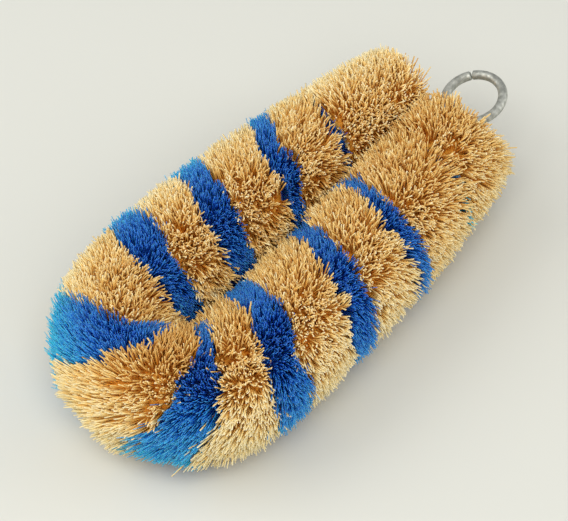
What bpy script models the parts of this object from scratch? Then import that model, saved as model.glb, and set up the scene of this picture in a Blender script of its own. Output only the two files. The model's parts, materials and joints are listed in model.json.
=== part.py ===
"""A tawashi: palm fibre and blue nylon bristles on a rod of twisted wire, folded into a U and tied,
with a steel ring to hang it by. Metres, +Z up, standing on z = 0, centred on the origin.

The rod's middle line lies flat. A place in the bristles is given by three numbers: the distance along
that line, counted from the end of the right leg round the bend to the end of the left one, the angle
round it, 0 outwards and a quarter turn at the top, and the radius from it.
"""

import math
import random

import bmesh
import bpy
from mathutils import Matrix, Vector

# The folded rod
brush_radius = 0.0218
trim_depth = 0.0005
bend_radius = 0.0237
right_leg_reach = 0.1167
left_leg_overreach = 0.0049
tied_half_spacing = 0.0122
bend_clearance = 0.002

# The core of two twisted wires, and its turned-in ends
core_wire_radius = 0.0008
core_wire_gap = 0.0003
twist_pitch = 0.029
twist_steps = 10
right_turn_radius = 0.0026
left_turn_radius = 0.003
right_end_clearance = 0.0014
left_end_overrun = 0.0006

# The bristle bands
seam_gap = 0.0003
tip_seam_gap = 0.0009
bore_clearance = 0.0008
slice_radius = 0.012
row_pitch = 0.0105
least_rows = 2
strand_columns = 14
weld_share = 0.01
natural_tip_setback = 0.0005
end_splay = 0.005
end_splay_reach = 0.014
lean_fade = 0.012
blue_reach_share = 0.96
natural_tip_share = 0.6
blue_tip_share = 0.56
tip_drift_share = 0.08
blue_place_shares = (0.06, 0.156, 0.2423, 0.3425, 0.4189, 0.511, 0.6386, 0.7283, 0.82, 0.894)
blue_widths = (0.0086, 0.0062, 0.0086, 0.0106, 0.008, 0.0125, 0.0102, 0.0096, 0.0064, 0.0086)
blue_leans = (0.005, 0.005, 0.009, 0.009, 0.0085, 0.017, 0.0054, 0.0075, 0.01, 0.006)

# The wire that binds the ends, and the eye that holds the ring
binding_wire_radius = 0.00035
binding_clearance = 0.0003
binding_margin = 0.0015
binding_turns = 4
steps_a_turn = 16
eye_wire_radius = 0.0006
eye_clearance = 0.0005
eye_offset = 0.0005
eye_steps = 20

# The hanging ring, as it lies: lifted from level, and turned towards the right leg
ring_radius = 0.01005
ring_wire_radius = 0.0016
ring_joint_gap = 0.00035
ring_steps = 40
ring_lift = math.radians(16.3)
ring_yaw = math.radians(-27)
ring_joint_angle = math.radians(67)
ring_drop = 0.0018
ring_reach = 0.00676

left_leg_reach = right_leg_reach + left_leg_overreach
core_radius = 2 * core_wire_radius + core_wire_gap / 2
core_height = brush_radius - trim_depth
bore_radius = core_radius + bore_clearance
full_turn = 2 * math.pi
straight = None


def direction(heading):
    return Vector((math.cos(heading), math.sin(heading), 0))


def outward(heading):
    """The level direction to the left of a heading, which is the outer side of the folded rod."""
    return Vector((-math.sin(heading), math.cos(heading), 0))


def leg_radius(reach):
    """The radius of the shallow arc that brings a leg from the bend in to the tied end."""
    drop = bend_radius - tied_half_spacing
    return (reach**2 + drop**2) / (2 * drop)


def leg_turn(reach):
    return math.asin(reach / leg_radius(reach))


def leg_length(reach):
    return leg_radius(reach) * leg_turn(reach)


class Line:
    """A level line of straight runs and clockwise arcs, each a pair of length and radius."""

    def __init__(self, start, heading, sections):
        self.start = start
        self.heading = heading
        self.sections = sections
        self.length = sum(length for length, _ in sections)

    def at(self, distance):
        """The place, the heading and the radius of the line at a distance along it."""
        place, heading = self.start.copy(), self.heading
        last = len(self.sections) - 1
        for number, (length, radius) in enumerate(self.sections):
            step = distance if number == last else min(distance, length)
            if radius is straight:
                place += step * direction(heading)
            else:
                centre = place - radius * outward(heading)
                heading -= step / radius
                place = centre + radius * outward(heading)
            distance -= step
            if distance <= 0:
                break
        return place, heading, radius


right_end = Vector((right_leg_reach, -tied_half_spacing, core_height))
right_heading = math.pi + leg_turn(right_leg_reach)
leg_sections = [
    (leg_length(right_leg_reach), leg_radius(right_leg_reach)),
    (math.pi * bend_radius, bend_radius),
    (leg_length(left_leg_reach), leg_radius(left_leg_reach)),
]
bristle_line = Line(right_end, right_heading, leg_sections)

# Both tied ends turn in until they head straight across the brush, side by side.
across = math.radians(-90)
left_end, left_heading, _ = bristle_line.at(bristle_line.length)
right_turn_angle = math.pi / 2 - leg_turn(right_leg_reach)
left_turn_angle = math.pi / 2 - leg_turn(left_leg_reach)
right_turn_start = (
    right_end + right_turn_radius * (outward(across) - outward(right_heading))
)
left_turn_end = left_end + left_turn_radius * (outward(across) - outward(left_heading))
right_run = -right_turn_start.y - right_end_clearance
left_run = left_turn_end.y - right_turn_start.y + left_end_overrun
core_line = Line(
    right_turn_start - right_run * direction(across),
    across,
    [
        (right_run, straight),
        (right_turn_radius * right_turn_angle, right_turn_radius),
        *leg_sections,
        (left_turn_radius * left_turn_angle, left_turn_radius),
        (left_run, straight),
    ],
)
core_bend_middle = (
    right_run
    + right_turn_radius * right_turn_angle
    + leg_length(right_leg_reach)
    + math.pi * bend_radius / 2
)
blue_places = [share * bristle_line.length for share in blue_place_shares]


def lean_at(distance):
    """How far a band's outer side is ahead of its middle there, which fades at the rod's two ends."""
    places = [0, *blue_places, bristle_line.length]
    leans = [blue_leans[0], *blue_leans, blue_leans[-1]]
    number = max(n for n, place in enumerate(places[:-1]) if n == 0 or place <= distance)
    share = (distance - places[number]) / (places[number + 1] - places[number])
    lean = leans[number] + share * (leans[number + 1] - leans[number])
    from_end = min(distance, bristle_line.length - distance)
    return lean * min(1, max(0, from_end / lean_fade))


def splay_at(distance, angle):
    """How far the bristles of a tied end flare past it, which they do on every side but the inner one."""
    outer_share = (1 + math.cos(angle)) / 2
    left_to_end = bristle_line.length - distance
    start_share = max(0, 1 - distance / end_splay_reach)
    end_share = max(0, 1 - left_to_end / end_splay_reach)
    return end_splay * outer_share * (end_share**2 - start_share**2)


def reach_at(place, heading, radius, angle):
    """How far bristles reach there: the other leg stops them at the middle plane, and so does the bend."""
    inward = -math.cos(angle)
    if inward <= 0:
        return brush_radius
    reach = (bend_radius - bend_clearance) / inward
    if radius != bend_radius:
        across_share = abs(outward(heading).y) * inward
        reach = min(reach, (abs(place.y) - seam_gap / 2) / across_share)
    return min(reach, brush_radius)


def bristle_place(distance, angle, radius, from_middle_share):
    """The place in the brush of a point of a band. Its share of the band's width from the band's middle,
    from -0.5 to 0.5, says how much of the seam beside the band it gives up."""
    share = radius / brush_radius
    shifted = distance + lean_at(distance) * share * math.cos(angle)
    shifted += splay_at(distance, angle) * share**2
    _, _, turn_radius = bristle_line.at(shifted)
    squeeze = max(
        1 + radius * math.cos(angle) / turn_radius, bend_clearance / bend_radius
    )
    gap = seam_gap if radius <= slice_radius else tip_seam_gap
    shifted -= from_middle_share * gap / squeeze
    place, heading, turn_radius = bristle_line.at(shifted)
    reach = reach_at(place, heading, turn_radius, angle)
    shrink = (reach - bore_radius) / (brush_radius - bore_radius)
    if radius > bore_radius:
        radius = bore_radius + (radius - bore_radius) * shrink
    place = place + radius * math.cos(angle) * outward(heading)
    place.z = max(0, place.z + radius * math.sin(angle))
    return place


def make_material(name, colour, roughness, metallic=0):
    material = bpy.data.materials.new(name)
    material.use_nodes = True
    shader = material.node_tree.nodes["Principled BSDF"]
    shader.inputs["Base Color"].default_value = (*colour, 1)
    shader.inputs["Roughness"].default_value = roughness
    shader.inputs["Metallic"].default_value = metallic
    material.diffuse_color = (*colour, 1)
    return material


def add_object(name, data, material, frame):
    data.materials.append(material)
    part = bpy.data.objects.new(name, data)
    bpy.data.collections["tawashi_brush"].objects.link(part)
    part.parent = frame
    return part


def add_band(name, start, end, tip_radius, tip_share, setback, material, frame):
    """One band: a bored slice whose outer faces rise as four-sided strands, first drawn as a flat slab
    over distance, angle and radius, and then wrapped round the rod."""
    rng = random.Random(name)
    width = end - start
    middle = (start + end) / 2
    spreads = setback is not None
    rows = round(max(least_rows, width / row_pitch)) if spreads else 1
    row_width = width / rows
    column_angle = full_turn / strand_columns
    tip_margin = (1 - tip_share) * row_width / 2
    spread = (width / 2 - setback) / (width / 2 - tip_margin) if spreads else 1

    bm = bmesh.new()
    bmesh.ops.create_grid(bm, x_segments=rows, y_segments=strand_columns, size=1)
    for vertex in bm.verts:
        vertex.co = (
            middle + vertex.co.x * width / 2,
            -math.pi / 2 + vertex.co.y * math.pi + column_angle / 2,
            bore_radius,
        )
    seam_angles = [min(v.co.y for v in bm.verts), max(v.co.y for v in bm.verts)]
    raised = bmesh.ops.extrude_face_region(
        bm, geom=[*bm.faces, *bm.edges, *bm.verts], use_keep_orig=True
    )
    outer_faces = [item for item in raised["geom"] if isinstance(item, bmesh.types.BMFace)]
    for item in raised["geom"]:
        if isinstance(item, bmesh.types.BMVert):
            item.co.z = slice_radius
    seam_faces = [
        face
        for face in bm.faces
        if any(all(v.co.y == angle for v in face.verts) for angle in seam_angles)
    ]
    bmesh.ops.delete(bm, geom=seam_faces, context="FACES")
    side_faces = [
        face for face in bm.faces if len({vertex.co.x for vertex in face.verts}) == 1
    ]
    strands = bmesh.ops.extrude_discrete_faces(bm, faces=outer_faces)["faces"]
    for face in strands:
        centre = face.calc_center_median()
        drift = row_width * rng.uniform(-tip_drift_share, tip_drift_share)
        turn = column_angle * rng.uniform(-tip_drift_share, tip_drift_share)
        drift = -abs(drift) if centre.x > middle else abs(drift)
        for vertex in face.verts:
            along = centre.x + (vertex.co.x - centre.x) * tip_share
            vertex.co.x = middle + (along - middle) * spread + drift
            vertex.co.y = centre.y + (vertex.co.y - centre.y) * tip_share + turn
            vertex.co.z = tip_radius
    for vertex in bm.verts:
        distance, angle, radius = vertex.co
        vertex.co = bristle_place(distance, angle, radius, (distance - middle) / width)
    bmesh.ops.triangulate(bm, faces=side_faces, quad_method="SHORT_EDGE")
    bmesh.ops.remove_doubles(bm, verts=bm.verts, dist=seam_gap * weld_share)
    bmesh.ops.recalc_face_normals(bm, faces=bm.faces)
    mesh = bpy.data.meshes.new(name)
    bm.to_mesh(mesh)
    bm.free()
    add_object(name, mesh, material, frame)
    return len(strands)


def add_bands(frame):
    """Blue bands at their places, and a natural band on each side of each."""
    natural = make_material("palm_fibre", (0.6, 0.33, 0.11), 0.75)
    blue = make_material("blue_nylon", (0.01, 0.11, 0.5), 0.45)
    strands = 0
    start = 0
    for number, place in enumerate([*blue_places, bristle_line.length], 1):
        at_end = number > len(blue_places)
        half_width = 0 if at_end else blue_widths[number - 1] / 2
        end = place - half_width
        strands += add_band(
            f"natural_band_{number:02d}",
            start,
            end,
            brush_radius,
            natural_tip_share,
            natural_tip_setback,
            natural,
            frame,
        )
        if at_end:
            break
        start = place + half_width
        strands += add_band(
            f"blue_band_{number:02d}",
            end,
            start,
            brush_radius * blue_reach_share,
            blue_tip_share,
            None,
            blue,
            frame,
        )
    print("bristle strands:", strands)


def add_wire(name, points, wire_radius, material, frame, closed=False):
    """A round wire through the points."""
    curve = bpy.data.curves.new(name, "CURVE")
    curve.dimensions = "3D"
    curve.bevel_depth = wire_radius
    curve.bevel_resolution = 1
    curve.use_fill_caps = True
    spline = curve.splines.new("POLY")
    spline.points.add(len(points) - 1)
    for spline_point, point in zip(spline.points, points):
        spline_point.co = (*point, 1)
    spline.use_cyclic_u = closed
    return add_object(name, curve, material, frame)


def add_core(frame):
    """Two wires twisted round the core's line, one above the other in the middle of the bend."""
    steel = make_material("galvanised_wire", (0.42, 0.42, 0.41), 0.45, 1)
    offset = core_wire_radius + core_wire_gap / 2
    steps = math.ceil(core_line.length / twist_pitch * twist_steps)
    for letter, phase in (("a", math.pi / 2), ("b", -math.pi / 2)):
        points = []
        for step in range(steps + 1):
            distance = core_line.length * step / steps
            place, heading, _ = core_line.at(distance)
            turn = full_turn * (distance - core_bend_middle) / twist_pitch + phase
            side = math.cos(turn) * outward(heading) + Vector((0, 0, math.sin(turn)))
            points.append(place + offset * side)
        add_wire(f"core_wire_{letter}", points, core_wire_radius, steel, frame)
    return steel


def racetrack(half_run, radius, share):
    """The point at a share of the way round a slot-shaped loop, which starts at the middle of its top."""
    run = 2 * half_run
    arc = math.pi * radius
    distance = (share % 1) * 2 * (run + arc)
    for side in (1, -1):
        if distance <= half_run:
            return side * distance, side * radius
        distance -= half_run
        if distance <= arc:
            turn = distance / radius
            return (
                side * (half_run + radius * math.sin(turn)),
                side * radius * math.cos(turn),
            )
        distance -= arc
        if distance <= half_run:
            return side * (half_run - distance), -side * radius
        distance -= half_run
    return 0, radius


def add_binding(steel, frame, far_end):
    """The wire wound round the two turned-in ends, from where both run straight to beside the eye."""
    half_run = (left_turn_end.x - right_turn_start.x) / 2
    radius = core_radius + binding_clearance + binding_wire_radius
    middle = (left_turn_end + right_turn_start) / 2
    near_end = right_turn_start.y + binding_margin
    points = []
    for step in range(binding_turns * steps_a_turn + 1):
        turns = step / steps_a_turn
        x, z = racetrack(half_run, radius, turns)
        y = near_end + (far_end - near_end) * turns / binding_turns
        points.append(Vector((middle.x + x, y, core_height + z)))
    add_wire("binding_wire", points, binding_wire_radius, steel, frame)
    gap = least_gap(points, steps_a_turn // 2, binding_wire_radius)
    print(f"binding wire, least gap to itself: {gap * 1000:.2f} mm")


def least_gap(points, apart, wire_radius):
    """The least gap between stretches of one wire that are at least so many points apart."""
    nearest = min(
        (a - b).length
        for number, a in enumerate(points)
        for b in points[number + apart :]
    )
    return nearest - 2 * wire_radius


def ring_pivot():
    """The middle of the ring's wire where it passes through the eye."""
    return Vector(
        (left_turn_end.x + ring_reach, -eye_offset, core_height - ring_drop)
    )


def add_eye(steel, frame):
    """The oval wire eye round the left end of the core and the ring's wire."""
    pivot = ring_pivot()
    ring_half_width = ring_wire_radius / math.cos(ring_yaw) + eye_wire_radius * abs(math.tan(ring_yaw))
    near_x = left_turn_end.x - core_radius - eye_clearance
    far_x = pivot.x + ring_half_width + eye_clearance
    top = core_height + core_radius + eye_clearance
    bottom = pivot.z - ring_wire_radius - eye_clearance
    radius = (top - bottom) / 2 + eye_wire_radius
    half_run = (far_x - near_x) / 2 + eye_wire_radius - radius
    points = []
    for step in range(eye_steps):
        x, z = racetrack(half_run, radius, step / eye_steps)
        points.append(Vector(((near_x + far_x) / 2 + x, pivot.y, (top + bottom) / 2 + z)))
    add_wire("wire_eye", points, eye_wire_radius, steel, frame, closed=True)


def add_ring(frame):
    """The steel ring, with its origin on the axis that it swings about, and its butt joint left open."""
    zinc = make_material("zinc_coated_steel", (0.36, 0.37, 0.36), 0.4, 1)
    gap_angle = ring_joint_gap / ring_radius
    points = []
    for step in range(ring_steps + 1):
        angle = ring_joint_angle + gap_angle / 2 + (full_turn - gap_angle) * step / ring_steps
        points.append(
            Vector((ring_radius + ring_radius * math.cos(angle), ring_radius * math.sin(angle), 0))
        )
    ring = add_wire("hanging_ring", points, ring_wire_radius, zinc, frame)
    ring.data.bevel_resolution = 2
    ring.matrix_local = (
        Matrix.Translation(ring_pivot())
        @ Matrix.Rotation(ring_yaw, 4, "Z")
        @ Matrix.Rotation(-ring_lift, 4, "Y")
    )


def centre_on_origin(frame):
    """Moves the frame until the parts' common box is centred over the origin."""
    bpy.context.view_layer.update()
    graph = bpy.context.evaluated_depsgraph_get()
    corners = []
    for part in frame.children:
        shaped = part.evaluated_get(graph)
        mesh = shaped.to_mesh()
        corners += [shaped.matrix_world @ vertex.co for vertex in mesh.vertices]
        shaped.to_mesh_clear()
    for axis in range(2):
        places = [corner[axis] for corner in corners]
        frame.location[axis] = -(min(places) + max(places)) / 2
    bpy.context.view_layer.update()


def main():
    for old in list(bpy.data.objects):
        bpy.data.objects.remove(old)
    collection = bpy.data.collections.new("tawashi_brush")
    bpy.context.scene.collection.children.link(collection)
    frame = bpy.data.objects.new("brush_frame", None)
    collection.objects.link(frame)
    add_bands(frame)
    steel = add_core(frame)
    eye_near_side = -eye_offset - eye_wire_radius
    add_binding(steel, frame, eye_near_side - binding_clearance - binding_wire_radius)
    add_eye(steel, frame)
    add_ring(frame)
    centre_on_origin(frame)


main()
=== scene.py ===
"""The tawashi brush dressed for its picture. Every bristle band gets its single fibres or hairs, the
ring and the wires get their steel, and the brush lies on a pale floor under soft light. Metres, in the
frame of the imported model.

The rod's middle line lies flat. A place in the bristles is given by three numbers: the distance along
that line, counted from the end of the right leg round the bend to the end of the left one, the angle
round it, 0 outwards and a quarter turn at the top, and the radius from it.
"""

import json
import math

import bpy
import numpy as np
from mathutils import Matrix, Vector


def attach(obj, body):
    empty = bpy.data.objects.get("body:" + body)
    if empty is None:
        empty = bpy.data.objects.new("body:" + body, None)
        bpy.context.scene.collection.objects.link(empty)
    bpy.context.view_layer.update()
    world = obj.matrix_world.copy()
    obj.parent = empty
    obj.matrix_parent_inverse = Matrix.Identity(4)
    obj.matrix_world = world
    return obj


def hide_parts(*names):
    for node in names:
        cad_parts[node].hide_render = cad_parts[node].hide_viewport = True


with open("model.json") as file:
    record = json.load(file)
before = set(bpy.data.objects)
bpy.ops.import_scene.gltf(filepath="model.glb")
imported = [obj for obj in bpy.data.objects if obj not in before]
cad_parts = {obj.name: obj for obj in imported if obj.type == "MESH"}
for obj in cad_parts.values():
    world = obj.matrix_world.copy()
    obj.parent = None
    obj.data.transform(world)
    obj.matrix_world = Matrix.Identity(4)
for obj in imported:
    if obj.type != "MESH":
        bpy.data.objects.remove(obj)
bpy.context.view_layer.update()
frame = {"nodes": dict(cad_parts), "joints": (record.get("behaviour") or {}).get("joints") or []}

millimetre = 0.001

# The rod and its bands, with the part's own values
brush_radius = 0.0218
trim_depth = 0.0005
bend_radius = 0.0237
right_leg_reach = 0.1167
left_leg_reach = 0.1216
left_turn_radius = 0.003
tied_half_spacing = 0.0122
bore_radius = 0.00255
lean_fade = 0.012
blue_place_shares = (0.06, 0.156, 0.2423, 0.3425, 0.4189, 0.511, 0.6386, 0.7283, 0.82, 0.894)
blue_widths = (0.0086, 0.0062, 0.0086, 0.0106, 0.008, 0.0125, 0.0102, 0.0096, 0.0064, 0.0086)
blue_leans = (0.005, 0.005, 0.009, 0.009, 0.0085, 0.017, 0.0054, 0.0075, 0.01, 0.006)

# Where the ring's pivot stands from the left end's turn and from the line between the legs
pivot_past_turn = 0.00676
pivot_off_middle = 0.0005

# The tips at the rod's two ends lean out past them, at the right leg's end by these shares of the
# splay at these angles.
end_splay = 0.005
end_splay_reach = 0.014
left_splay_share = 0.42
splay_angles = (-90, -15, 15, 45, 60, 75, 90, 105, 135, 175)
splay_shares = (0.0, 0.36, 0.38, 0.26, 0.0, -0.16, 0.14, 0.58, 0.6, 0.0)

# How much shorter the outer bristles are cut at these shares of the rod, in millimetres
trim_shares = (
    0, 0.06, 0.12, 0.18, 0.24, 0.28, 0.33, 0.375, 0.42, 0.487, 0.527,
    0.56, 0.586, 0.607, 0.64, 0.69, 0.75, 0.81, 0.86, 0.91, 0.955, 1,
)
trim_depths = (
    -0.3, -0.5, -0.4, -0.1, -0.3, 0.9, 0.6, 0.9, 0.4, 1.0, 1.6,
    2.5, 2.7, 1.2, -0.6, -0.5, -1.0, -1.1, -0.6, -0.4, -0.3, 0.8,
)

# From this share of the way inwards, the bristles reach on to the middle of the bend.
crease_from = 0.75
# Shares are kept from falling to nothing where something is divided by them.
least_divisor = 1e-6


def stack(*parts):
    return np.stack(np.broadcast_arrays(*parts), axis=-1)


def unit(vectors):
    return vectors / np.linalg.norm(vectors, axis=1)[:, None]


def square_to(vectors, along):
    """What is left of the vectors when their part in the direction along is taken out."""
    return vectors - (vectors * along).sum(axis=1)[:, None] * along


def grid(rows, columns):
    row, column = np.meshgrid(np.arange(rows), np.arange(columns), indexing="ij")
    return row.ravel(), column.ravel()


def outward(heading):
    return stack(-np.sin(heading), np.cos(heading), np.zeros_like(heading))


def leg_radius(reach):
    drop = bend_radius - tied_half_spacing
    return (reach**2 + drop**2) / (2 * drop)


def leg_turn(reach):
    return math.asin(reach / leg_radius(reach))


class Line:
    """A level line of clockwise arcs, each a pair of length and radius."""

    def __init__(self, start, heading, sections):
        lengths = np.array([length for length, _ in sections])
        self.radii = np.array([radius for _, radius in sections])
        self.starts = np.concatenate([[0.0], np.cumsum(lengths)])
        self.length = self.starts[-1]
        self.headings = heading - np.concatenate([[0.0], np.cumsum(lengths / self.radii)])
        centres = []
        place = np.array(start, float)
        for number, (_, radius) in enumerate(sections):
            centre = place - radius * outward(self.headings[number])
            place = centre + radius * outward(self.headings[number + 1])
            centres.append(centre)
        self.centres = np.array(centres)

    def at(self, distance):
        """The place, the heading and the arc's radius at a distance along the line."""
        number = np.searchsorted(self.starts[1:-1], distance, side="left")
        radius = self.radii[number]
        heading = self.headings[number] - (distance - self.starts[number]) / radius
        place = self.centres[number] + radius[..., None] * outward(heading)
        return place, heading, radius


# The part stands centred on the origin, so the line is shifted to where its ring's pivot is.
pivot = np.array(frame["joints"][0]["pos_m"])
left_turn_end_x = left_leg_reach + left_turn_radius * (
    outward(np.array(math.radians(-90.0)))[0] - outward(np.array(-leg_turn(left_leg_reach)))[0]
)
shift = np.array([pivot[0] - left_turn_end_x - pivot_past_turn, pivot[1] + pivot_off_middle, 0.0])
middle_y = shift[1]
line = Line(
    np.array([right_leg_reach, -tied_half_spacing, brush_radius - trim_depth]) + shift,
    math.pi + leg_turn(right_leg_reach),
    [
        (leg_radius(right_leg_reach) * leg_turn(right_leg_reach), leg_radius(right_leg_reach)),
        (math.pi * bend_radius, bend_radius),
        (leg_radius(left_leg_reach) * leg_turn(left_leg_reach), leg_radius(left_leg_reach)),
    ],
)
blue_places = [share * line.length for share in blue_place_shares]


def lean_at(distance):
    """How much farther along the rod the outermost tips stand than the bristles' roots."""
    places = [0.0, *blue_places, line.length]
    leans = [blue_leans[0], *blue_leans, blue_leans[-1]]
    from_end = np.minimum(distance, line.length - distance)
    return np.interp(distance, places, leans) * np.clip(from_end / lean_fade, 0, 1)


def splay_at(distance, angle):
    """How far the tips lean out past the nearer end of the rod, as a step along it."""
    right = np.maximum(0, 1 - distance / end_splay_reach) ** 2
    right = right * np.interp(np.degrees(angle), splay_angles, splay_shares, period=360)
    left = np.maximum(0, 1 - (line.length - distance) / end_splay_reach) ** 2
    left = left * np.abs(np.cos(angle / 2)) ** 0.7
    return end_splay * (left_splay_share * left - right)


def trim_at(distance, angle):
    """How much shorter the bristles are cut there, on the outer side."""
    depth = millimetre * np.interp(distance / line.length, trim_shares, trim_depths)
    return depth * np.maximum(0, np.cos(angle)) ** 0.5


def reach_at(place, heading, turn_radius, angle, full_reach):
    """How far bristles reach there. On the inner side of bend and legs they fill the middle."""
    inward = np.maximum(-np.cos(angle), least_divisor)
    inner = np.clip((inward - crease_from) / (1 - crease_from), 0, 1)
    reach = full_reach + (bend_radius - brush_radius) * inner
    reach = np.minimum(reach, bend_radius / inward)
    across_share = np.maximum(np.abs(outward(heading)[..., 1]) * inward, least_divisor)
    to_middle = np.abs(place[..., 1] - middle_y) / across_share
    on_leg = turn_radius != bend_radius
    return np.where(on_leg, np.minimum(reach, to_middle), reach)


def bristle_place(distance, angle, radius, tip_radius):
    """The place of a point of a bristle."""
    share = radius / brush_radius
    shifted = distance + lean_at(distance) * share * np.cos(angle)
    shifted = shifted + splay_at(distance, angle) * share**2
    place, heading, turn_radius = line.at(shifted)
    reach = reach_at(place, heading, turn_radius, angle, tip_radius)
    shrink = (reach - bore_radius) / (tip_radius - bore_radius)
    radius = np.where(radius > bore_radius, bore_radius + (radius - bore_radius) * shrink, radius)
    place = place + (radius * np.cos(angle))[..., None] * outward(heading)
    return place + (radius * np.sin(angle))[..., None] * np.array([0.0, 0.0, 1.0])


# How far the tips at each blue band's two borders, the lower and the higher one, stand off along the
# rod, at these angles round it, in millimetres
border_angles = (-30, 15, 45, 70, 90, 110, 130, 155)
border_moves = {
    1: (
        (5.8, 5.6, 6.2, 6.4, 6.3, 6.2, 5.6, 5.4),
        (-5.8, -5.6, -6.2, -6.4, -6.3, -6.2, -5.6, -5.4),
    ),
    2: (
        (-0.4, 0.6, -0.3, 1.2, 2.6, 0.0, -4.9, -1.5),
        (-14.3, -2.1, 1.4, 0.6, 1.6, -1.8, -3.4, -3.0),
    ),
    3: (
        (1.2, -2.9, 1.1, -1.9, 0.5, 0.3, 0.6, -8.6),
        (-2.2, 1.4, -2.8, 1.6, 1.2, -0.5, -1.1, -4.2),
    ),
    4: (
        (-1.5, 0.6, 2.8, -2.4, -2.0, 1.2, 0.7, -3.0),
        (-0.2, 1.1, 1.8, 6.3, 1.3, -4.6, 3.1, -4.2),
    ),
    5: (
        (5.3, -2.2, -1.3, -0.3, 5.1, 2.2, -10.8, -1.5),
        (6.5, 0.3, -1.9, 1.7, 0.8, -1.2, 4.7, -1.5),
    ),
    6: (
        (1.0, 1.1, -2.8, -2.4, -5.7, -4.9, -4.0, -4.0),
        (4.9, 5.8, 4.6, 5.1, 4.5, -3.2, -4.6, -3.0),
    ),
    7: (
        (-1.0, -1.2, 0.0, -3.0, -4.2, -2.8, 2.3, 2.5),
        (2.0, 2.8, 0.7, 2.0, 1.7, -3.4, -0.5, 2.4),
    ),
    8: (
        (0.0, 0.0, -0.8, -0.8, -2.5, -2.7, -0.6, -1.1),
        (1.0, 1.2, -0.6, -1.3, 0.0, 0.6, 2.0, -0.3),
    ),
    9: (
        (0.0, 0.0, 1.4, -3.3, -4.0, -1.6, 2.7, 0.8),
        (2.0, 2.2, 3.4, -1.1, -7.0, 3.2, 2.2, -1.1),
    ),
    10: (
        (5.5, 5.5, 5.7, 5.5, 4.6, 2.8, 2.2, 4.2),
        (-5.0, -5.0, -5.3, -5.1, -4.2, -2.7, -2.1, -4.2),
    ),
}

# The natural bristles beside these blue bands cover them, which are sunk this deep and sparse.
sunk_depths = {1: 0.0042, 10: 0.003}
sunk_density = 0.14


def border_move(border, angle):
    """How far tips stand off at a border: a blue band's number, and 0 for its lower side, 1 for its
    higher one. The rod's two ends count as borders of bands that aren't there."""
    number, side = border
    if number not in border_moves:
        return np.zeros_like(angle)
    return millimetre * np.interp(
        np.degrees(angle), border_angles, border_moves[number][side], period=360
    )


def add_node(tree, kind, inputs=(), **settings):
    node = tree.nodes.new(kind)
    for key, value in settings.items():
        setattr(node, key, value)
    for key, value in dict(inputs).items():
        if isinstance(value, bpy.types.NodeSocket):
            tree.links.new(value, node.inputs[key])
        else:
            node.inputs[key].default_value = value
    return node


def add_math(tree, operation, *values, **settings):
    inputs = dict(enumerate(values))
    return add_node(tree, "ShaderNodeMath", inputs, operation=operation, **settings).outputs[0]


def add_ramp(tree, factor, stops):
    node = add_node(tree, "ShaderNodeValToRGB", {"Fac": factor})
    ramp = node.color_ramp
    while len(ramp.elements) < len(stops):
        ramp.elements.new(0.5)
    for element, (place, colour) in zip(ramp.elements, stops):
        element.position = place
        element.color = (*colour, 1)
    return node.outputs["Color"]


def new_material(name, finish):
    material = bpy.data.materials.new(name)
    material.use_nodes = True
    shader = material.node_tree.nodes["Principled BSDF"]
    for key, value in finish.items():
        shader.inputs[key].default_value = value
    return material, material.node_tree, shader


# The bristles' colour map has a column for each tone. In it a bristle runs from its root at the bottom,
# where a low strip is the root's own end, to its cut tip in a strip at the top.
map_name = "OFBake"
tone_columns = 64
column_margin = 0.15
root_strip = (0.005, 0.02)
side_top = 0.94
tip_strip = (0.955, 0.99)
grain_spread = 0.16
streak_spread = 0.35


def bristle_material(name, along_stops, tone_stops, finish):
    """Colour along each bristle from its root to its cut tip, darker towards the root with painted
    shade, times a tone of its own that also carries the painted light set for each bristle.
    """
    material, tree, shader = new_material(name, finish)
    uv = add_node(tree, "ShaderNodeUVMap", uv_map=map_name)
    split = add_node(tree, "ShaderNodeSeparateXYZ", {0: uv.outputs[0]})
    column = add_math(
        tree, "FLOOR", add_math(tree, "MULTIPLY", split.outputs[0], float(tone_columns))
    )
    noise = add_node(tree, "ShaderNodeTexWhiteNoise", {"W": column}, noise_dimensions="1D")
    grain = add_math(tree, "MULTIPLY_ADD", noise.outputs[0], grain_spread, -grain_spread / 2)
    place = add_node(tree, "ShaderNodeCombineXYZ", {0: column, 1: split.outputs[1]})
    waves = add_node(
        tree, "ShaderNodeTexNoise", {"Vector": place.outputs[0], "Scale": 7.0, "Detail": 2.0}
    )
    streak = add_math(tree, "MULTIPLY_ADD", waves.outputs[0], streak_spread, -streak_spread / 2)
    own = add_math(tree, "MULTIPLY", column, 1 / tone_columns)
    varied = add_math(tree, "ADD", own, grain)
    varied = add_math(tree, "ADD", varied, streak, use_clamp=True)
    along = add_ramp(tree, split.outputs[1], along_stops)
    tone = add_ramp(tree, varied, tone_stops)
    mix = add_node(
        tree,
        "ShaderNodeMix",
        {"Factor": 1.0, 6: along, 7: tone},
        data_type="RGBA",
        blend_type="MULTIPLY",
    )
    tree.links.new(mix.outputs[2], shader.inputs["Base Color"])
    return material


# Along each palm fibre the colour deepens to a dark orange at the root, painted shade for the depth
# among the fibres. The tone ramp's upper stops turn the fibres paler, and the painted light at the rims
# comes out there.
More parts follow.
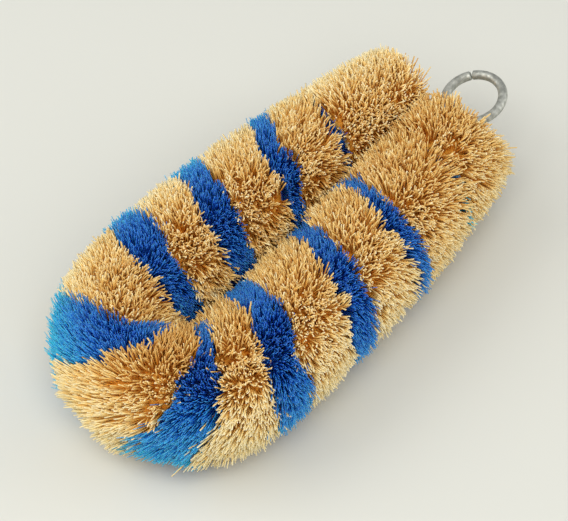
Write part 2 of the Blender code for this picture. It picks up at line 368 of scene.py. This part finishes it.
palm = bristle_material(
    "palm_fibre_strands",
    [
        (0.0, (0.76, 0.27, 0.02)),
        (0.45, (0.92, 0.43, 0.05)),
        (0.8, (0.96, 0.65, 0.21)),
        (0.94, (0.92, 0.67, 0.28)),
        (0.96, (0.91, 0.69, 0.33)),
    ],
    [
        (0.0, (0.66, 0.5, 0.36)),
        (0.25, (0.8, 0.72, 0.62)),
        (0.5, (0.92, 0.91, 0.9)),
        (1.0, (1.04, 1.28, 2.0)),
    ],
    {"Roughness": 0.6, "Specular IOR Level": 0.12},
)
# Along each nylon hair the colour darkens to navy at the root, painted shade for the depth among the
# hairs. The cut tips are darker than the sides, painted shade for hairs seen end-on. The tone ramp's
# upper stops turn the hairs a paler cyan, painted light for light shining through them.
nylon = bristle_material(
    "blue_nylon_hairs",
    [
        (0.0, (0.007, 0.055, 0.38)),
        (0.5, (0.010, 0.135, 0.62)),
        (0.94, (0.022, 0.245, 0.75)),
        (0.96, (0.035, 0.215, 0.62)),
    ],
    [
        (0.0, (0.5, 0.28, 0.55)),
        (0.35, (0.7, 0.52, 0.8)),
        (0.6, (1.0, 1.0, 1.0)),
        (1.0, (1.4, 2.25, 1.3)),
    ],
    {
        "Roughness": 0.4,
        "Specular IOR Level": 0.25,
        "Subsurface Weight": 0.8,
        "Subsurface Radius": (0.5, 0.8, 1.2),
        "Subsurface Scale": 0.001,
    },
)


def steel_material(name, light, dark, smooth, rough, scale):
    """Zinc-coated steel: mottled, duller where the coat has weathered, with a slightly uneven face."""
    material, tree, shader = new_material(name, {"Metallic": 1.0})
    place = add_node(tree, "ShaderNodeTexCoord").outputs["Object"]
    spots = add_node(
        tree, "ShaderNodeTexNoise", {"Vector": place, "Scale": scale, "Detail": 5.0}
    ).outputs[0]
    grain = add_node(
        tree, "ShaderNodeTexNoise", {"Vector": place, "Scale": scale * 5, "Detail": 3.0}
    ).outputs[0]
    colour = add_ramp(tree, spots, [(0.35, dark), (0.65, light)])
    dull = add_node(tree, "ShaderNodeMapRange", {0: spots, 1: 0.3, 2: 0.7, 3: rough, 4: smooth})
    bump = add_node(
        tree, "ShaderNodeBump", {"Height": grain, "Strength": 0.25, "Distance": 0.0002}
    )
    tree.links.new(colour, shader.inputs["Base Color"])
    tree.links.new(dull.outputs[0], shader.inputs["Roughness"])
    tree.links.new(bump.outputs[0], shader.inputs["Normal"])
    return material


zinc = steel_material(
    "zinc_coated_ring",
    light=(0.59, 0.60, 0.55),
    dark=(0.36, 0.37, 0.34),
    smooth=0.5,
    rough=0.75,
    scale=620.0,
)
wire_steel = steel_material(
    "galvanised_wires",
    light=(0.5, 0.5, 0.49),
    dark=(0.32, 0.32, 0.31),
    smooth=0.35,
    rough=0.5,
    scale=900.0,
)

# The two kinds of bristle. Lengths are in metres. tip_radius, outer_gain, dome, tip_spread and fringe
# shape the cut tips' radius, fan and border_jitter where a band's bristles grow and end, the clump
# values, whorl, jitter, curl and bow how they stray, the sleeve values the mass near the rod, and the
# last two how much painted light the inner side gets and how much their tones vary at random.
# Thickness is the strands' radius from root to tip.
fibre = dict(
    material=palm,
    slot="palm_fibre",
    pitch=0.00093,
    tip_radius=0.985 * brush_radius,
    outer_gain=0.0,
    tip_spread=0.0007,
    fringe=0.0002,
    dome=0.0007,
    fan=0.0036,
    border_jitter=0.13,
    thickness=(0.00027, 0.00029, 0.00029, 0.00027, 0.00023),
    clump_pitch=0.0032,
    clump_pull=0.5,
    jitter=0.0008,
    curl=0.0011,
    whorl=0.0015,
    bow=0.0005,
    sleeve=0.0148,
    sleeve_gain=-0.0016,
    inner_painted_light=0.0,
    lit_spread=0.25,
    stray_share=0.08,
)
hair = dict(
    material=nylon,
    slot="blue_nylon",
    pitch=0.00064,
    tip_radius=0.94 * brush_radius,
    outer_gain=0.0012,
    tip_spread=0.0005,
    fringe=0.0006,
    dome=0.0,
    fan=-0.0004,
    border_jitter=0.2,
    thickness=(0.00017, 0.00018, 0.00018, 0.00016, 0.00012),
    clump_pitch=0.0024,
    clump_pull=0.3,
    jitter=0.0004,
    curl=0.0004,
    whorl=0.001,
    bow=0.0003,
    sleeve=0.0130,
    sleeve_gain=0.0016,
    # painted light on the hairs' inner, crease side
    inner_painted_light=0.25,
    lit_spread=0.1,
    stray_share=0.03,
)

# How many bristles grow: at most this many times the plain grid, and at least this share of those
fullest = 1.6
least_share = 0.25

# The strands, from a root in the dense mass near the rod to the tip, at these shares of their length
strand_shares = np.array([0.0, 0.36, 0.62, 0.83, 1.0])
strand_sides = 3
root_radius = 0.009
thickness_spread = (0.8, 1.2)

# Strays start beyond this share of a band's half width, and are shorter where the rod ends.
stray_from = 0.6
stray_lengths = (0.0005, 0.0038)
end_stray_share = 0.3

# The tips' lengths vary within these limits. On the outer side a ragged fringe comes on top, drawn back
# by this much and cut off at a most, both in multiples of the kind's fringe.
tip_limits = (-0.0014, 0.0011)
fringe_setback = 1.2
fringe_most = 2.6
# A sunk band's outermost tips are sunk less by this share.
sunk_outer_rise = 0.75

# Near the rod's two ends single tips stand out, and the tufts are looser.
wisp_reach = 0.004
wisp_length = 0.0003
loose_reach = 0.008
loose_share = 0.4

# The pull of a tuft and of a bristle in it vary by these factors, and whole tufts lean in slow waves.
tuft_pulls = (0.4, 1.5)
bristle_pulls = (0.5, 1.2)
whorl_seed = 5
whorl_waves = 7
whorl_lengths = (0.01, 0.026)

# More bristles lie side by side over the rod's two end faces. Light falls straight into those, so the
# colour there starts paler at the roots.
face_bristles = 240
face_root_radius = 0.0034
face_offsets = (0.0001, 0.0007)
face_root_colour = 0.62
end_wall_gain = 0.4

# The sleeve, with the colour that its faces start from and how far they run up the colour map. They
# take the bristles' dark root colours, painted shade for the deep mass near the rod.
sleeve_row = 0.0016
sleeve_columns = 72
sleeve_unevenness = 0.0005
sunk_gain_share = 0.25
sleeve_colours = (0.1, 0.4)
sleeve_colour_run = 0.1


def sway(places):
    """A smooth field of small steps, the same wherever two bands meet."""
    rng = np.random.default_rng(whorl_seed)
    total = np.zeros_like(places)
    for _ in range(whorl_waves):
        way = rng.normal(size=3)
        way /= np.linalg.norm(way)
        step = rng.normal(size=3)
        length = rng.uniform(*whorl_lengths)
        phase = rng.uniform(0, 2 * math.pi)
        total += np.sin(places @ way * 2 * math.pi / length + phase)[:, None] * step
    return total / math.sqrt(whorl_waves)


def nearest(places, centres, block=2000):
    """The number of the centre nearest to each place."""
    found = np.empty(len(places), int)
    for start in range(0, len(places), block):
        part = places[start : start + block]
        gaps = ((part[:, None, :] - centres[None, :, :]) ** 2).sum(axis=2)
        found[start : start + block] = gaps.argmin(axis=1)
    return found


def build_mesh(name, pieces, material):
    """One mesh from several sets of vertices, faces, places on the colour map and a flat-face flag."""
    verts, loops, starts, totals, uvs, flats = [], [], [], [], [], []
    vertex_offset = 0
    loop_offset = 0
    for places, faces, face_uvs, flat in pieces:
        corners = faces.shape[1]
        verts.append(places)
        loops.append((faces + vertex_offset).ravel())
        starts.append(loop_offset + corners * np.arange(len(faces)))
        totals.append(np.full(len(faces), corners))
        uvs.append(face_uvs.reshape(-1, 2))
        flats.append(np.full(len(faces), flat))
        vertex_offset += len(places)
        loop_offset += faces.size
    verts = np.concatenate(verts)
    loops = np.concatenate(loops)
    starts = np.concatenate(starts)
    mesh = bpy.data.meshes.new(name)
    mesh.vertices.add(len(verts))
    mesh.vertices.foreach_set("co", verts.astype(np.float32).ravel())
    mesh.loops.add(len(loops))
    mesh.loops.foreach_set("vertex_index", loops.astype(np.int32))
    mesh.polygons.add(len(starts))
    mesh.polygons.foreach_set("loop_start", starts.astype(np.int32))
    mesh.polygons.foreach_set("loop_total", np.concatenate(totals).astype(np.int32))
    mesh.update(calc_edges=True)
    sharp = mesh.attributes.new("sharp_face", "BOOLEAN", "FACE")
    sharp.data.foreach_set("value", np.concatenate(flats))
    layer = mesh.uv_layers.new(name=map_name)
    layer.data.foreach_set("uv", np.concatenate(uvs).astype(np.float32).ravel())
    mesh.validate()
    mesh.materials.append(material)
    return mesh


def column_edges(tone):
    return (tone + column_margin) / tone_columns, (tone + 1 - column_margin) / tone_columns


def strand_parts(centres, thickness, tone, root_colour, rng):
    """Strands round their centre lines, closed at both ends: (n, rings, 3) and (n, rings)."""
    count, rings, _ = centres.shape
    sides = strand_sides
    along = unit(centres[:, -1] - centres[:, 0])
    helper = np.where(np.abs(along[:, 2:3]) > 0.9, [[1.0, 0.0, 0.0]], [[0.0, 0.0, 1.0]])
    side = unit(np.cross(along, helper))
    other = np.cross(along, side)
    turns = rng.uniform(0, 2 * math.pi, count)[:, None] + 2 * math.pi / sides * np.arange(sides)
    circle = np.cos(turns)[..., None] * side[:, None] + np.sin(turns)[..., None] * other[:, None]
    places = centres[:, :, None] + thickness[:, :, None, None] * circle[:, None]
    places = places.reshape(-1, 3)
    places[:, 2] = np.maximum(places[:, 2], 0)

    base = (np.arange(count) * rings * sides)[:, None]
    low_u, high_u = column_edges(tone)
    u = np.stack([low_u, high_u, high_u, low_u], axis=1)
    shares = np.linspace(0, 1, rings)
    faces, face_uvs = [], []
    for ring, corner in zip(*grid(rings - 1, sides)):
        after = (corner + 1) % sides
        low, high = ring * sides, (ring + 1) * sides
        faces.append(base + np.array([low + corner, low + after, high + after, high + corner]))
        v = np.broadcast_to(shares[[ring, ring, ring + 1, ring + 1]], u.shape)
        v = root_colour[:, None] + (side_top - root_colour[:, None]) * v
        face_uvs.append(np.stack([u, v], axis=2))
    quads = np.stack(faces, axis=1).reshape(-1, 4)
    quad_uvs = np.stack(face_uvs, axis=1).reshape(-1, 4, 2)

    u = np.stack([low_u, high_u, (low_u + high_u) / 2], axis=1)
    parts = [(places, quads, quad_uvs, False)]
    roots = base + np.arange(sides)[::-1]
    tips = base + (rings - 1) * sides + np.arange(sides)
    for ends, (low, high) in ((roots, root_strip), (tips, tip_strip)):
        uvs = np.stack([u, np.broadcast_to([low, low, high], u.shape)], axis=2)
        # These faces share the vertices of the first part, which come before theirs.
        parts.append((np.zeros((0, 3)), ends - len(places), uvs, True))
    return parts


def sleeve_parts(start, end, kind, borders, sunk, rng):
    """The dense mass of bristles near the rod, a closed bored sleeve that leans as they do."""
    low_border, high_border = borders
    rows, columns = max(4, round((end - start) / sleeve_row)), sleeve_columns
    distance, angle = np.meshgrid(
        np.linspace(start, end, rows + 1),
        np.arange(columns) * 2 * math.pi / columns,
        indexing="ij",
    )
    radius = kind["sleeve"] - sunk
    outer_radius = radius + sleeve_unevenness * rng.uniform(-1, 1, distance.shape)
    across = 2 * (distance - start) / (end - start) - 1
    moved = border_move(high_border, angle) * np.maximum(0, across) ** 2
    moved = moved + border_move(low_border, angle) * np.maximum(0, -across) ** 2
    low_gain, high_gain = (
        kind["sleeve_gain"] * (sunk_gain_share if number in sunk_depths else 1)
        for number, _ in borders
    )
    gain = np.where(across < 0, -low_gain * (start > 0), high_gain * (end < line.length))
    moved = (
        distance
        + moved * (radius - bore_radius) / (brush_radius - bore_radius)
        + gain * across**2
    )
    limit = np.full(distance.shape, brush_radius)
    outer = bristle_place(moved, angle, outer_radius, limit)
    inner = bristle_place(distance, angle, np.full(distance.shape, bore_radius), limit)
    places = np.concatenate([outer.reshape(-1, 3), inner.reshape(-1, 3)])
    places[:, 2] = np.maximum(places[:, 2], 0)

    # Faces on the outside, in the bore, and on the two end walls
    inside = distance.size
    last = rows * columns
    row, column = grid(rows, columns)
    after = (column + 1) % columns
    a, b = row * columns + column, row * columns + after
    c, d = (row + 1) * columns + after, (row + 1) * columns + column
    column = np.arange(columns)
    after = (column + 1) % columns
    faces = np.concatenate(
        [
            np.stack([a, d, c, b], axis=1),
            np.stack([a, b, c, d], axis=1) + inside,
            np.stack([column, after, after + inside, column + inside], axis=1),
            np.stack([column, column + inside, after + inside, after], axis=1) + last,
        ]
    )
    low_u, high_u = column_edges(rng.integers(0, tone_columns, len(faces)))
    low_v = rng.uniform(*sleeve_colours, len(faces))
    low_v[-2 * columns :] += end_wall_gain
    high_v = low_v + sleeve_colour_run
    u = np.stack([low_u, high_u, high_u, low_u], axis=1)
    v = np.stack([low_v, low_v, high_v, high_v], axis=1)
    return [(places, faces, np.stack([u, v], axis=2), False)]


def scatter(start, end, kind, density, inner_end, rng):
    """Where a band's bristles grow: across it from -1 to 1, at which angle, and which of them lie on
    the rod's end face, as -1 or 1 for its side and 0 for the others."""
    pitch = kind["pitch"] / math.sqrt(fullest)
    rows = max(2, round((end - start) / pitch))
    columns = round(2 * math.pi * brush_radius / pitch)
    row, column = grid(rows, columns)
    across = 2 * (row + rng.uniform(0, 1, row.size)) / rows - 1
    angle = 2 * math.pi * (column + rng.uniform(0, 1, row.size)) / columns
    distance = (start + end) / 2 + (end - start) / 2 * across
    _, _, turn_radius = line.at(distance + lean_at(distance) * np.cos(angle))
    # The tips have more room on the outer side of the bend than on its inner side.
    room = 1 + brush_radius * np.cos(angle) / turn_radius
    share = density * np.clip(np.maximum(room, 0) ** 0.8 / fullest, least_share, 1)
    kept = rng.uniform(0, 1, row.size) < share
    across, angle = across[kept], angle[kept]
    face_side = np.zeros(across.size)
    if not inner_end.all():
        side = np.full(face_bristles, -1.0 if inner_end[1] else 1.0)
        turns = (np.arange(face_bristles) + rng.uniform(0, 1, face_bristles)) / face_bristles
        across = np.concatenate([across, side])
        angle = np.concatenate([angle, 2 * math.pi * turns])
        face_side = np.concatenate([face_side, side])
    return across, angle, face_side


def seed_of(name):
    return sum(ord(letter) * 31**place for place, letter in enumerate(name)) % 2**32


def add_band(name, start, end, kind, borders, shade, painted_light_gain, density, sunk=0.0):
    """One band with its sleeve and its bristles, whose tips end at two borders."""
    rng = np.random.default_rng(seed_of(name))
    low_border, high_border = borders
    middle, half = (start + end) / 2, (end - start) / 2
    inner_end = np.array([start > 0, end < line.length])
    across, angle, face_side = scatter(start, end, kind, density, inner_end, rng)
    on_face = face_side != 0
    count = across.size
    outer_share = np.maximum(0, np.cos(angle))
    bordered = np.where(across < 0, *inner_end)
    edge = np.abs(across) ** 3

    # Where along the rod the bristles have their roots and their tips
    root_distance = middle + (half - kind["fan"] * bordered) * across
    root_distance += face_side * rng.uniform(*face_offsets, count)
    tip_distance = middle + half * across
    tip_distance += border_move(high_border, angle) * np.maximum(0, across) ** 2
    tip_distance += border_move(low_border, angle) * np.maximum(0, -across) ** 2
    tip_distance += kind["border_jitter"] * half * rng.normal(0, 0.4, count) * edge
    stray = (rng.uniform(0, 1, count) < kind["stray_share"]) & (np.abs(across) > stray_from)
    stray_length = rng.uniform(*stray_lengths, count) * np.where(bordered, 1, end_stray_share)
    tip_distance += np.where(stray, np.sign(across) * stray_length, 0)
    from_end = np.minimum(tip_distance, line.length - tip_distance)

    # How far their tips reach out from it
    tip = kind["tip_radius"] + kind["outer_gain"] * outer_share
    tip = tip - sunk * (1 - sunk_outer_rise * outer_share**8)
    tip = tip - kind["dome"] * edge
    tip = tip + np.clip(rng.normal(0, kind["tip_spread"], count), *tip_limits)
    fringe = np.minimum(rng.exponential(1, count) - fringe_setback, fringe_most)
    tip = tip + kind["fringe"] * outer_share * fringe
    tip = tip + np.where(from_end < wisp_reach, rng.exponential(wisp_length, count), 0)
    tip = tip - trim_at(tip_distance + lean_at(tip_distance) * np.cos(angle), angle)

    # Their centre lines, straight so far
    shares = strand_shares
    root = np.where(on_face, face_root_radius, root_radius)
    radius = root[:, None] + (tip - root)[:, None] * shares
    grown = root_distance[:, None] + (tip_distance - root_distance)[:, None] * (
        (radius - bore_radius) / (tip[:, None] - bore_radius)
    )
    turned = np.broadcast_to(angle[:, None], radius.shape)
    limit = np.broadcast_to(tip[:, None], radius.shape)
    centres = bristle_place(grown, turned, radius, limit)

    # They gather in tufts round some of the tips, lean with their neighbours, and bend.
    tips = centres[:, -1].copy()
    tufts = max(8, int(count * (kind["pitch"] / kind["clump_pitch"]) ** 2))
    tufts = rng.choice(count, tufts, replace=False)
    found = nearest(tips, tips[tufts])
    pull = kind["clump_pull"] * rng.uniform(*tuft_pulls, len(tufts))[found]
    pull = pull * rng.uniform(*bristle_pulls, count)
    pull = pull * np.where((from_end < loose_reach) & ~bordered, loose_share, 1)
    step = (tips[tufts][found] - tips) * pull[:, None]
    step += kind["whorl"] * sway(tips)
    # Beside a band of the other kind the bristles hold each other straighter.
    free = ((1 - 0.55 * bordered * edge) * (1 - 0.45 * outer_share))[:, None]
    step += kind["jitter"] * free * rng.normal(size=(count, 3))
    along = unit(centres[:, -1] - centres[:, 0])
    centres = centres + square_to(step, along)[:, None] * (shares**1.6)[None, :, None]
    curl = square_to(kind["curl"] * free * rng.normal(size=(count, 3)), along)
    centres += curl[:, None] * (shares**4)[None, :, None]
    bow = kind["bow"] * np.where(on_face, 0.5, 1)[:, None] * rng.normal(size=(count, 3))
    centres += bow[:, None] * np.sin(math.pi * shares)[None, :, None]

    # Each has a tone of its own, with painted light added where the bristles point outwards or down.
    # This stands in for light shining through the sparse bristles at the rims, and for the nylon it is
    # also added on the inner side.
    thickness = np.array(kind["thickness"]) * rng.uniform(*thickness_spread, count)[:, None]
    painted_light_factor = outer_share**1.5 + 0.9 * np.maximum(0, -np.sin(angle))
    tone_with_painted_light = shade + painted_light_gain * painted_light_factor + kind["inner_painted_light"] * np.maximum(0, -np.cos(angle))
    tone_with_painted_light += kind["lit_spread"] * (1 - 0.5 * outer_share) * rng.normal(size=count)
    tone = np.clip(np.floor(tone_with_painted_light * tone_columns), 0, tone_columns - 1).astype(int)
    root_colour = np.where(on_face, face_root_colour, 0)

    parts = sleeve_parts(start, end, kind, borders, sunk, rng)
    parts += strand_parts(centres, thickness, tone, root_colour, rng)
    mesh = build_mesh(name + "_bristles", parts, kind["material"])
    piece = bpy.data.objects.new(name + "_bristles", mesh)
    bpy.context.scene.collection.objects.link(piece)
    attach(piece, "brush")
    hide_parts(name)


# Each band's base tone, set band by band to paint the light and shade that fall differently on each
# part of the brush, and how much painted light it gets at the outer and lower sides
natural_shades = (0.31, 0.31, 0.35, 0.38, 0.33, 0.1, 0.4, 0.46, 0.44, 0.44, 0.56)
natural_painted_light_gains = (0.42, 0.42, 0.5, 0.54, 0.62, 0.75, 0.66, 0.74, 0.62, 0.62, 0.6)
blue_shades = (0.14, 0.09, 0.07, 0.12, 0.09, 0.10, 0.11, 0.12, 0.10, 0.12)
blue_painted_light_gains = (0.85, 0.26, 0.33, 0.36, 0.56, 0.88, 0.75, 0.75, 0.75, 0.75)
# The natural bristles stand closer in the bands that reach over a sunk one.
natural_densities = {1: 1.3, 2: 1.15, 10: 1.15, 11: 1.3}

start = 0.0
for number, place in enumerate([*blue_places, line.length], 1):
    blue_next = number <= len(blue_places)
    half_width = blue_widths[number - 1] / 2 if blue_next else 0.0
    end = place - half_width
    add_band(
        f"natural_band_{number:02d}",
        start,
        end,
        fibre,
        borders=((number - 1, 1), (number, 0)),
        shade=natural_shades[number - 1],
        painted_light_gain=natural_painted_light_gains[number - 1],
        density=natural_densities.get(number, 1.0),
    )
    if blue_next:
        start = place + half_width
        add_band(
            f"blue_band_{number:02d}",
            end,
            start,
            hair,
            borders=((number, 0), (number, 1)),
            shade=blue_shades[number - 1],
            painted_light_gain=blue_painted_light_gains[number - 1],
            density=sunk_density if number in sunk_depths else 1.0,
            sunk=sunk_depths.get(number, 0.0),
        )

# The ring: a wire bent round, whose cut ends meet at an open joint
ring_radius = 0.01005
ring_wire_radius = 0.0016
ring_sides = 20
ring_steps = 120
ring_lift = math.radians(16.3)
ring_yaw = math.radians(-27)
ring_joint_angle = math.radians(67)
ring_joint_gap = 0.0003
ring_joint_gape = 0.0007
ring_joint_gape_power = 80
ring_joint_turn = math.radians(60)
cut_end_share = 0.86


def add_ring():
    """The hanging ring. It is drawn flat in its eye and then lifted and turned about its pivot."""
    share, small = np.meshgrid(
        np.linspace(0, 1, ring_steps + 1),
        np.arange(ring_sides) * 2 * math.pi / ring_sides,
        indexing="ij",
    )
    # The joint gapes on the outer side, where the bent wire's cut ends stand apart.
    gape = np.maximum(0, np.cos(small - ring_joint_turn))
    gape = ring_joint_gape * gape * np.abs(2 * share - 1) ** ring_joint_gape_power
    gap = (ring_joint_gap + gape) / ring_radius
    big = ring_joint_angle + gap / 2 + (2 * math.pi - gap) * share
    # The cut ends are slightly rounded.
    wire = np.full(big.shape, ring_wire_radius)
    wire[[0, -1]] *= cut_end_share
    out = ring_radius + wire * np.cos(small)
    places = stack(ring_radius + out * np.cos(big), out * np.sin(big), wire * np.sin(small))
    placing = np.array(
        Matrix.Translation(Vector(pivot))
        @ Matrix.Rotation(ring_yaw, 4, "Z")
        @ Matrix.Rotation(-ring_lift, 4, "Y")
    )
    places = places.reshape(-1, 3) @ placing[:3, :3].T + placing[:3, 3]

    step, side = grid(ring_steps, ring_sides)
    after = (side + 1) % ring_sides
    low, high = step * ring_sides, (step + 1) * ring_sides
    faces = np.stack([low + side, high + side, high + after, low + after], axis=1).tolist()
    faces.append(list(range(ring_sides)))
    faces.append([ring_steps * ring_sides + side for side in reversed(range(ring_sides))])
    mesh = bpy.data.meshes.new("ring_wire")
    mesh.from_pydata(places.tolist(), [], faces)
    mesh.update()
    for polygon in mesh.polygons:
        polygon.use_smooth = len(polygon.vertices) == 4
    mesh.materials.append(zinc)
    ring = bpy.data.objects.new("ring_wire", mesh)
    bpy.context.scene.collection.objects.link(ring)
    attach(ring, "ring")
    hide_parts("hanging_ring")


add_ring()
for name in ("core_wire_a", "core_wire_b", "binding_wire", "wire_eye"):
    frame["nodes"][name].material_slots[0].material = wire_steel

# The floor
floor_half = 3.0
floor_material, _, _ = new_material(
    "pale_floor", {"Base Color": (0.66, 0.665, 0.615, 1), "Roughness": 0.9}
)
floor_mesh = bpy.data.meshes.new("floor")
floor_mesh.from_pydata(
    [(x * floor_half, y * floor_half, 0) for x, y in ((-1, -1), (1, -1), (1, 1), (-1, 1))],
    [],
    [(0, 1, 2, 3)],
)
floor_mesh.materials.append(floor_material)
floor = bpy.data.objects.new("floor", floor_mesh)
bpy.context.scene.collection.objects.link(floor)

# Soft light: a pale world and three square lamps that look at the brush
world = bpy.data.worlds.new("studio")
bpy.context.scene.world = world
world.use_nodes = True
background = world.node_tree.nodes["Background"]
background.inputs["Color"].default_value = (0.98, 0.99, 1.0, 1)
background.inputs["Strength"].default_value = 0.44

for name, size, energy, place in (
    ("soft_left", 1.2, 10.8, (-0.75, 0.83, 1.00)),
    ("soft_front", 1.2, 13.8, (-0.66, -0.52, 1.24)),
    ("soft_right", 0.9, 5.7, (0.90, -1.06, 0.56)),
):
    lamp_data = bpy.data.lights.new(name, "AREA")
    lamp_data.size = size
    lamp_data.energy = energy
    lamp_data.color = (1.0, 0.985, 0.95)
    lamp = bpy.data.objects.new(name, lamp_data)
    lamp.location = place
    lamp.rotation_euler = (-lamp.location).to_track_quat("-Z", "Y").to_euler()
    bpy.context.scene.collection.objects.link(lamp)

# The camera, with its focal length fitted to the photograph in pixels
photo_width = 568
focal_pixels = 2423.757
camera_data = bpy.data.cameras.new("camera")
camera_data.sensor_width = 36.0
camera_data.lens = focal_pixels / photo_width * camera_data.sensor_width
camera = bpy.data.objects.new("camera", camera_data)
camera.location = (-0.4015, -0.3322, 0.5984)
target = Vector((0.0047, 0.0097, 0.0))
camera.rotation_euler = (target - camera.location).to_track_quat("-Z", "Y").to_euler()
bpy.context.scene.collection.objects.link(camera)
bpy.context.scene.camera = camera
bpy.context.scene.view_settings.view_transform = "Standard"
